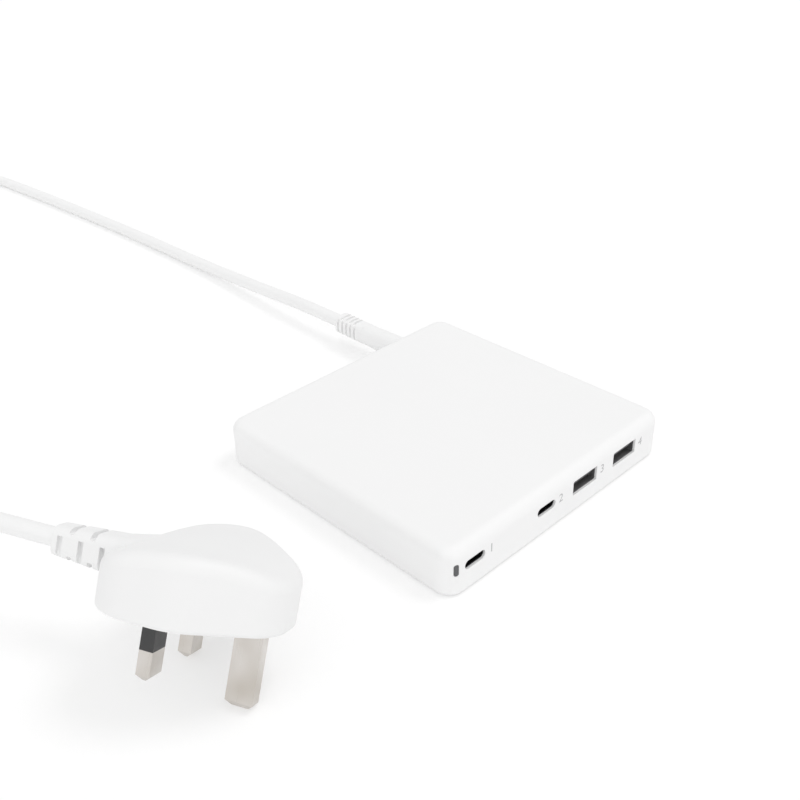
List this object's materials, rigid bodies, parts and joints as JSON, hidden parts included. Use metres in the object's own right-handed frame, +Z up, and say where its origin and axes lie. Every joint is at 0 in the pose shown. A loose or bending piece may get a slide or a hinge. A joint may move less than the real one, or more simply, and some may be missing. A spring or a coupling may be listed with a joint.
{
  "type": "desktop phone charger",
  "caption": "Flat white desktop phone charger with USB outlets along one edge, a status light, and a captive mains lead with strain reliefs and a three-pin plug.",
  "frame": {"origin": "on the surface that the feet stand on, under the middle of the case", "axes": "+Z up from the feet, +X along the port edge, +Y from the ports to the lead"},
  "size_m": [0.2107, 0.5114, 0.0483],
  "materials": {
    "white_housing": "fine satin moulded polycarbonate",
    "white_plug": "satin moulded thermoset",
    "white_pvc": "soft satin cable sheath",
    "foot_rubber": "matt elastomer",
    "screw_steel": "zinc plated",
    "board_laminate": "green solder mask",
    "insulation_film": "pale film",
    "port_steel": "nickel plated sheet",
    "port_black": "black moulded insulator",
    "contact_gold": "gold plated",
    "light_guide": "smoked clear light guide",
    "led_body": "clear encapsulant",
    "heat_plate": "mill finish sheet",
    "winding_tape": "yellow winding tape",
    "ferrite": "pressed ferrite",
    "terminal_plastic": "moulded terminal",
    "live_brown": "brown wire insulation",
    "neutral_blue": "blue wire insulation",
    "chip_black": "moulded package",
    "film_yellow": "film capacitor case",
    "fuse_ceramic": "ceramic tube",
    "capacitor_sleeve": "shrink sleeve",
    "capacitor_can": "bare aluminium can",
    "pin_nickel": "nickel plated brass",
    "sleeve_black": "black insulating sleeve",
    "carrier_plastic": "moulded fuse carrier",
    "tie_black": "flat cable tie"
  },
  "bodies": {
    "root": {"top_cover": "white_housing", "base_cover": "white_housing", "rubber_foot_front_left": "foot_rubber", "rubber_foot_front_right": "foot_rubber", "rubber_foot_rear_left": "foot_rubber", "rubber_foot_rear_right": "foot_rubber", "case_screws": "screw_steel", "main_board": "board_laminate", "insulation_sheet": "insulation_film", "usb_a_shell_left": "port_steel", "usb_a_shell_right": "port_steel", "usb_a_insulator_left": "port_black", "usb_a_insulator_right": "port_black", "usb_a_contacts_left": "contact_gold", "usb_a_contacts_right": "contact_gold", "usb_c_shell_left": "port_steel", "usb_c_shell_right": "port_steel", "usb_c_insulator_left": "port_black", "usb_c_insulator_right": "port_black", "led_light_guide": "light_guide", "led_chip": "led_body", "heat_spreader": "heat_plate", "transformer_winding": "winding_tape", "transformer_core": "ferrite", "mains_terminal": "terminal_plastic", "live_wire": "live_brown", "neutral_wire": "neutral_blue", "board_fuse": "fuse_ceramic", "filter_choke": "ferrite", "filter_capacitor": "film_yellow", "bridge_rectifier": "chip_black", "switch_transistor": "chip_black", "switch_heat_fin": "heat_plate", "bulk_capacitor_front": "capacitor_sleeve", "bulk_capacitor_rear": "capacitor_sleeve", "output_inductor_c": "ferrite", "output_inductor_a": "ferrite", "control_chip_c": "chip_black", "control_chip_a": "chip_black", "output_capacitor_c_left": "capacitor_can", "output_capacitor_c_right": "capacitor_can", "output_capacitor_a_left": "capacitor_can", "output_capacitor_a_right": "capacitor_can", "cord_boot": "white_pvc", "plug_body": "white_plug", "earth_pin": "pin_nickel", "live_pin": "pin_nickel", "neutral_pin": "pin_nickel", "live_sleeve": "sleeve_black", "neutral_sleeve": "sleeve_black", "plug_fuse_carrier": "carrier_plastic", "plug_fuse": "fuse_ceramic", "lead_cord": "white_pvc", "plug_cord": "white_pvc", "lead_coil": "white_pvc", "coil_tie": "tie_black"}
  },
  "joints": []
}
